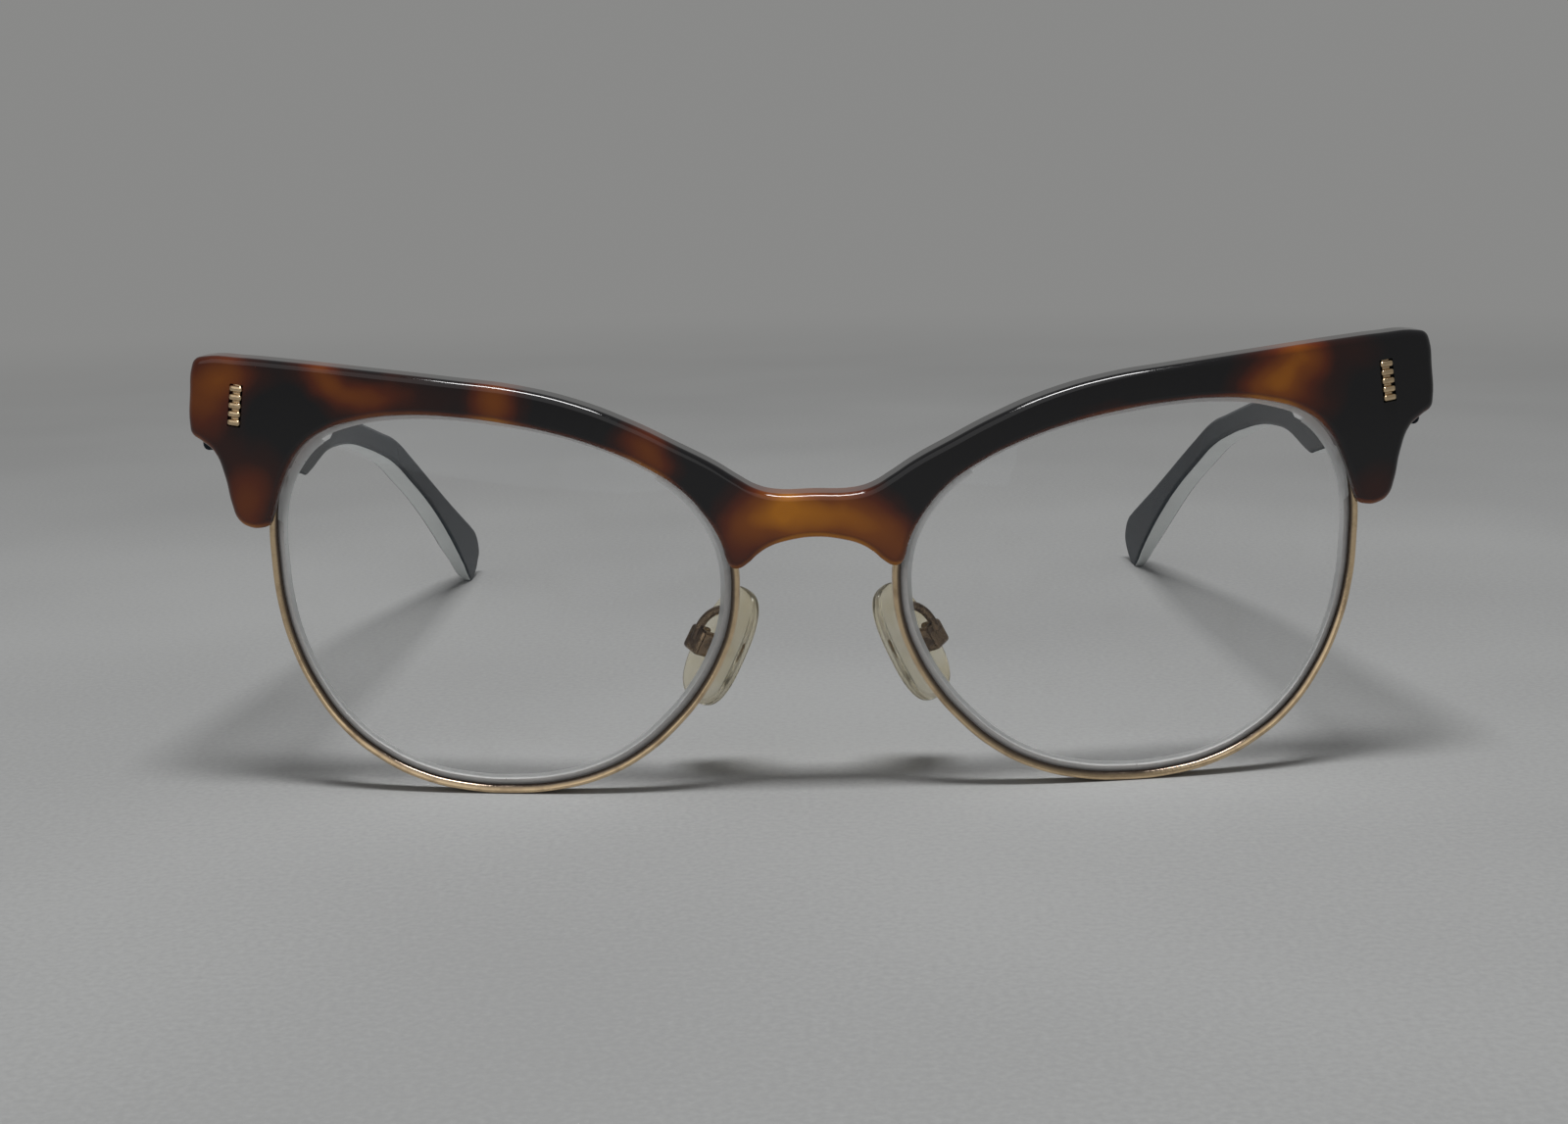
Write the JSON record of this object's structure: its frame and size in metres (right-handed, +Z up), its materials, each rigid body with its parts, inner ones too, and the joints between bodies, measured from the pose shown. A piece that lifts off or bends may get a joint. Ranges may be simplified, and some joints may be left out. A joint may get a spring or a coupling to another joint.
{
  "type": "cat-eye eyeglasses",
  "caption": "Cat-eye browline eyeglasses: a winged tortoise brow bar over clear lenses in slim gold lower rims, with rocking nose pads and folding temples.",
  "frame": {"origin": "on the surface the glasses stand on, below the middle of their overall width and depth", "axes": "+Z up, -Y the way the wearer looks, +X towards the wearer's left"},
  "size_m": [0.141, 0.1438, 0.0505],
  "materials": {
    "tortoise_acetate": "polished dark tortoise acetate with amber patches",
    "pale_gold": "satin pale gold plating",
    "dull_gold": "dull brown gold plating",
    "clear_lens": "clear, uncoated",
    "clear_silicone": "translucent, slightly yellowed",
    "dark_acetate": "polished blue-black acetate",
    "steel": "plain steel"
  },
  "bodies": {
    "front": {"brow_bar": "tortoise_acetate", "left_lens": "clear_lens", "left_rim": "pale_gold", "left_rim_screw_nasal": "pale_gold", "left_rim_screw_temporal": "pale_gold", "left_inlay": "pale_gold", "left_front_hinge": "dull_gold", "left_hinge_screw": "steel", "left_pad_arm": "dull_gold", "left_pad_screw": "pale_gold", "right_lens": "clear_lens", "right_rim": "pale_gold", "right_rim_screw_nasal": "pale_gold", "right_rim_screw_temporal": "pale_gold", "right_inlay": "pale_gold", "right_front_hinge": "dull_gold", "right_hinge_screw": "steel", "right_pad_arm": "dull_gold", "right_pad_screw": "pale_gold"},
    "left_temple_arm": {"left_temple": "dark_acetate", "left_temple_core": "steel", "left_temple_hinge": "dull_gold"},
    "right_temple_arm": {"right_temple": "dark_acetate", "right_temple_core": "steel", "right_temple_hinge": "dull_gold"},
    "left_pad": {"left_nose_pad": "clear_silicone"},
    "right_pad": {"right_nose_pad": "clear_silicone"}
  },
  "joints": [
    {"name": "left_temple_fold", "type": "hinge", "parent": "front", "child": "left_temple_arm", "pos_m": [0.06434, -0.05555, 0.04484], "axis": [0, 0, 1], "range_deg": [0, 86]},
    {"name": "right_temple_fold", "type": "hinge", "parent": "front", "child": "right_temple_arm", "pos_m": [-0.06434, -0.05555, 0.04484], "axis": [0, 0, -1], "range_deg": [0, 81]},
    {"name": "left_pad_rock", "type": "hinge", "parent": "front", "child": "left_pad", "pos_m": [0.01269, -0.06311, 0.0164], "axis": [0.5486, 0.788, 0.2795], "range_deg": [-8, 8]},
    {"name": "right_pad_rock", "type": "hinge", "parent": "front", "child": "right_pad", "pos_m": [-0.01269, -0.06311, 0.0164], "axis": [0.5486, -0.788, -0.2795], "range_deg": [-8, 8]}
  ]
}
